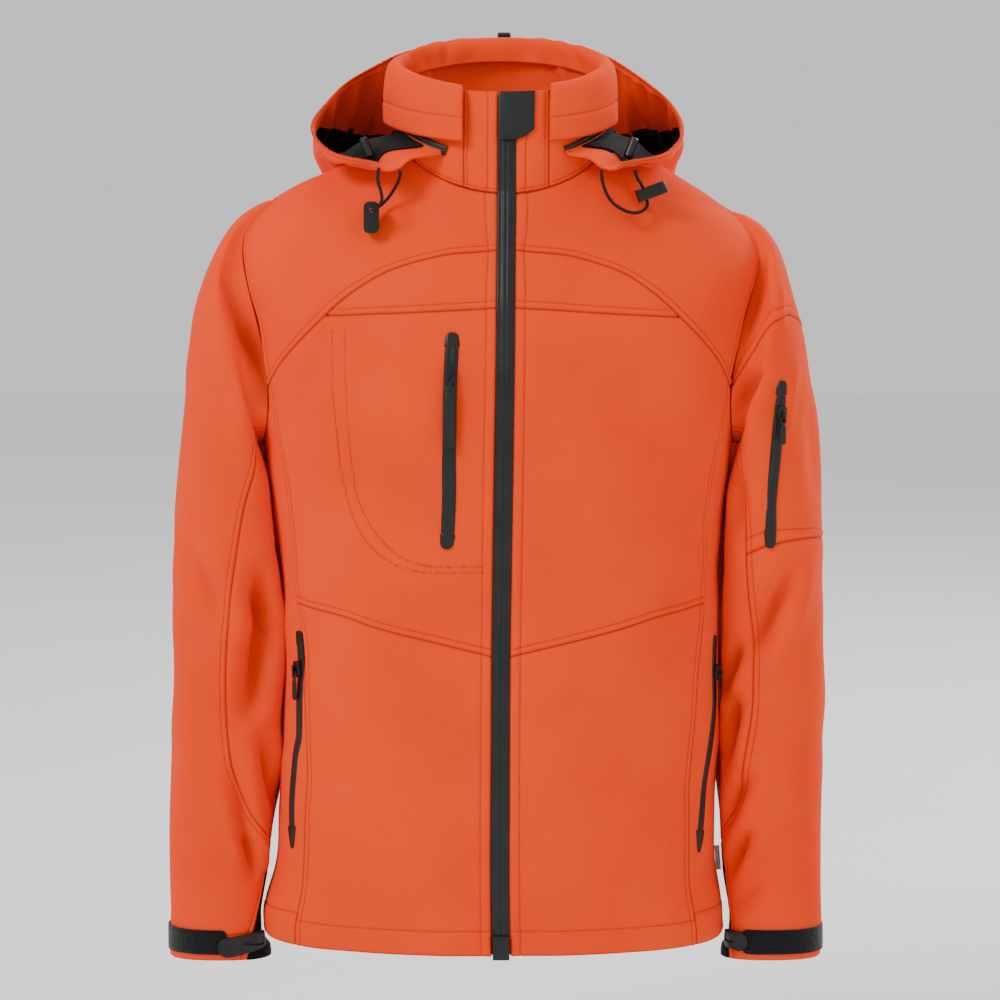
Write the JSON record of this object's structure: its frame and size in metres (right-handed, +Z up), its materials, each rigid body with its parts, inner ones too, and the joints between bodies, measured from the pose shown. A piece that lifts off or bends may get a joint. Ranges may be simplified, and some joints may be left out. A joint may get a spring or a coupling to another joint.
{
  "type": "softshell jacket",
  "caption": "Long-sleeved softshell jacket with a stand collar, a hood that hangs down the back, a full front zip, zipped pockets and cuff tabs, filled out as if worn.",
  "frame": {"origin": "middle of the neck opening, at the height where the shoulder seams meet the collar", "axes": "+Z up along the wearer's spine, -Y to the front, +X to the wearer's left"},
  "size_m": [0.628, 0.3351, 0.8797],
  "materials": {
    "softshell": "matt tightly woven stretch face",
    "stretch_black": "matt stretch weave",
    "lining": "soft knitted fleece backing",
    "hook_band": "short looped pile",
    "zip_black": "coated tape over a coil",
    "coil_black": "coil teeth under coated tape",
    "moulded_rubber": "satin moulded rubber",
    "hardware_black": "satin moulded plastic",
    "cord_black": "braided cord and woven tape",
    "label": "plain woven label"
  },
  "bodies": {
    "jacket": {"front_yoke_right": "softshell", "front_crescent_right": "softshell", "front_chest_right": "softshell", "front_lower_right": "softshell", "front_yoke_left": "softshell", "front_crescent_left": "softshell", "front_chest_left": "softshell", "front_lower_left": "softshell", "side_panel_right": "softshell", "side_panel_left": "softshell", "back_lower": "softshell", "back_yoke": "softshell", "sleeve_outer_right": "softshell", "sleeve_under_right": "softshell", "sleeve_gusset_right": "stretch_black", "sleeve_cap_left": "softshell", "sleeve_middle_left": "softshell", "sleeve_forearm_left": "softshell", "sleeve_under_left": "softshell", "sleeve_gusset_left": "stretch_black", "collar_stand": "softshell", "collar_flap": "softshell", "collar_front_right": "softshell", "collar_front_left": "softshell", "hood_side_right": "softshell", "hood_centre": "softshell", "hood_side_left": "softshell", "hood_lining": "lining", "zip_tape": "zip_black", "zip_teeth": "coil_black", "zip_box": "hardware_black", "zip_garage": "moulded_rubber", "zip_chest": "zip_black", "slider_chest": "hardware_black", "zip_sleeve": "zip_black", "slider_sleeve": "hardware_black", "zip_hand_right": "zip_black", "slider_hand_right": "hardware_black", "zip_hand_left": "zip_black", "slider_hand_left": "hardware_black", "cuff_band_right": "hook_band", "cuff_tab_right": "moulded_rubber", "cuff_band_left": "hook_band", "cuff_tab_left": "moulded_rubber", "cord_lock_right": "hardware_black", "cord_lock_left": "hardware_black", "cord_right": "cord_black", "toggle_right": "hardware_black", "cord_left": "cord_black", "toggle_left": "hardware_black", "hood_rear_tab": "cord_black", "hood_rear_toggle": "hardware_black", "hood_zip": "zip_black", "side_label": "label"},
    "chest_pull": {"pull_chest": "hardware_black"},
    "sleeve_pull": {"pull_sleeve": "hardware_black"},
    "hand_right_pull": {"pull_hand_right": "hardware_black"},
    "hand_left_pull": {"pull_hand_left": "hardware_black"}
  },
  "joints": [
    {"name": "chest_pull_hinge", "type": "hinge", "parent": "jacket", "child": "chest_pull", "pos_m": [-0.04848, -0.14161, -0.21338], "axis": [-0.9992, 0.0396, 0], "range_deg": [0, 140]},
    {"name": "sleeve_pull_hinge", "type": "hinge", "parent": "jacket", "child": "sleeve_pull", "pos_m": [0.25858, -0.08441, -0.25527], "axis": [-0.9056, -0.4242, 0], "range_deg": [0, 140]},
    {"name": "hand_right_pull_hinge", "type": "hinge", "parent": "jacket", "child": "hand_right_pull", "pos_m": [-0.19526, -0.07379, -0.49501], "axis": [-0.57, 0.8216, 0], "range_deg": [0, 140]},
    {"name": "hand_left_pull_hinge", "type": "hinge", "parent": "jacket", "child": "hand_left_pull", "pos_m": [0.20421, -0.04846, -0.50158], "axis": [-0.3466, -0.938, 0], "range_deg": [0, 140]}
  ]
}
